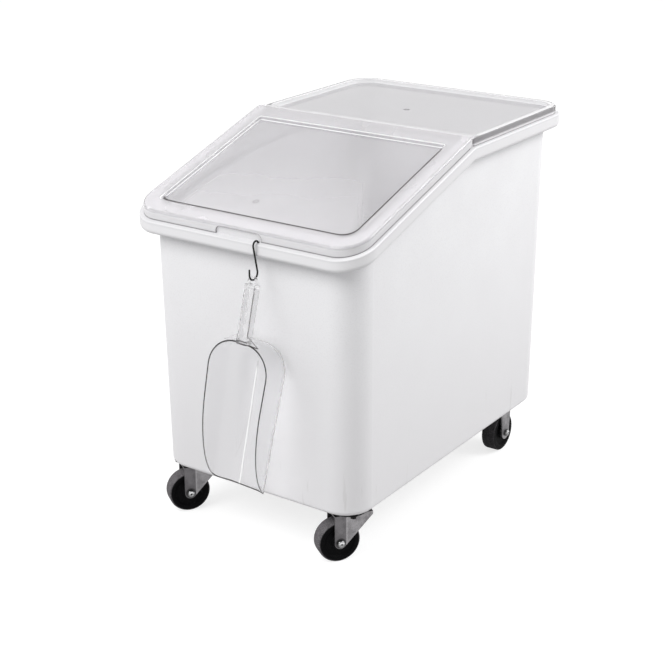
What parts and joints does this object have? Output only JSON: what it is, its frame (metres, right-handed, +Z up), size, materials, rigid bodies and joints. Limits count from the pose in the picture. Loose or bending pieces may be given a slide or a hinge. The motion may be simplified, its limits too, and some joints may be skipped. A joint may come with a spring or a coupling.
{
  "type": "mobile ingredient bin",
  "caption": "Rolling ingredient bin: tapered tub with a sloping clear front lid, flat rear lid, hook and hanging scoop.",
  "frame": {"origin": "on the floor under the middle of the tub's rim", "axes": "+Z up, -Y towards the front with the scoop, +X to the right seen from the front"},
  "size_m": [0.495, 0.8177, 0.725],
  "materials": {
    "polyethylene": "satin white polyethylene",
    "clear_plastic": "clear moulded plastic",
    "black_wire": "black coated wire",
    "zinc_steel": "bright zinc plate",
    "bright_steel": "bright plated",
    "wheel_rubber": "hard black rubber"
  },
  "bodies": {
    "bin": {"bin_body": "polyethylene", "front_left_top_plate": "zinc_steel", "front_left_ball_race": "zinc_steel", "front_left_king_pin": "zinc_steel", "front_left_mounting_bolts": "bright_steel", "front_right_top_plate": "zinc_steel", "front_right_ball_race": "zinc_steel", "front_right_king_pin": "zinc_steel", "front_right_mounting_bolts": "bright_steel", "rear_left_fork": "zinc_steel", "rear_left_hub_bush": "zinc_steel", "rear_left_axle_bolt": "bright_steel", "rear_left_axle_nut": "bright_steel", "rear_left_mounting_bolts": "bright_steel", "rear_right_fork": "zinc_steel", "rear_right_hub_bush": "zinc_steel", "rear_right_axle_bolt": "bright_steel", "rear_right_axle_nut": "bright_steel", "rear_right_mounting_bolts": "bright_steel"},
    "rear_lid": {"rear_lid": "clear_plastic"},
    "front_lid": {"front_lid": "clear_plastic"},
    "s_hook": {"s_hook": "black_wire"},
    "scoop": {"scoop": "clear_plastic"},
    "front_left_fork": {"front_left_fork": "zinc_steel", "front_left_hub_bush": "zinc_steel", "front_left_axle_bolt": "bright_steel", "front_left_axle_nut": "bright_steel"},
    "front_left_wheel": {"front_left_wheel": "wheel_rubber"},
    "front_right_fork": {"front_right_fork": "zinc_steel", "front_right_hub_bush": "zinc_steel", "front_right_axle_bolt": "bright_steel", "front_right_axle_nut": "bright_steel"},
    "front_right_wheel": {"front_right_wheel": "wheel_rubber"},
    "rear_left_wheel": {"rear_left_wheel": "wheel_rubber"},
    "rear_right_wheel": {"rear_right_wheel": "wheel_rubber"}
  },
  "joints": [
    {"name": "rear_lid_lift", "type": "slide", "parent": "bin", "child": "rear_lid", "axis": [0, 0, 1], "range_m": [0, 0.08]},
    {"name": "front_lid_flip", "type": "hinge", "parent": "rear_lid", "child": "front_lid", "pos_m": [0, 0.016, 0.725], "axis": [-1, 0, 0], "range_deg": [0, 188]},
    {"name": "hook_swing", "type": "hinge", "parent": "bin", "child": "s_hook", "pos_m": [0.043, -0.3662, 0.59097], "axis": [-1, 0, 0], "range_deg": [0, 12]},
    {"name": "scoop_swing", "type": "hinge", "parent": "s_hook", "child": "scoop", "pos_m": [0.043, -0.38191, 0.53547], "axis": [-1, 0, 0], "range_deg": [0, 45]},
    {"name": "front_left_swivel", "type": "hinge", "parent": "bin", "child": "front_left_fork", "pos_m": [-0.174, -0.288, 0.094], "axis": [0, 0, 1], "continuous": true},
    {"name": "front_left_roll", "type": "hinge", "parent": "front_left_fork", "child": "front_left_wheel", "pos_m": [-0.18777, -0.30766, 0.04], "axis": [0.8192, -0.5736, 0], "continuous": true},
    {"name": "front_right_swivel", "type": "hinge", "parent": "bin", "child": "front_right_fork", "pos_m": [0.174, -0.288, 0.094], "axis": [0, 0, 1], "continuous": true},
    {"name": "front_right_roll", "type": "hinge", "parent": "front_right_fork", "child": "front_right_wheel", "pos_m": [0.16023, -0.30766, 0.04], "axis": [0.8192, -0.5736, 0], "continuous": true},
    {"name": "rear_left_roll", "type": "hinge", "parent": "bin", "child": "rear_left_wheel", "pos_m": [-0.174, 0.262, 0.04], "axis": [1, 0, 0], "continuous": true},
    {"name": "rear_right_roll", "type": "hinge", "parent": "bin", "child": "rear_right_wheel", "pos_m": [0.174, 0.262, 0.04], "axis": [1, 0, 0], "continuous": true}
  ]
}
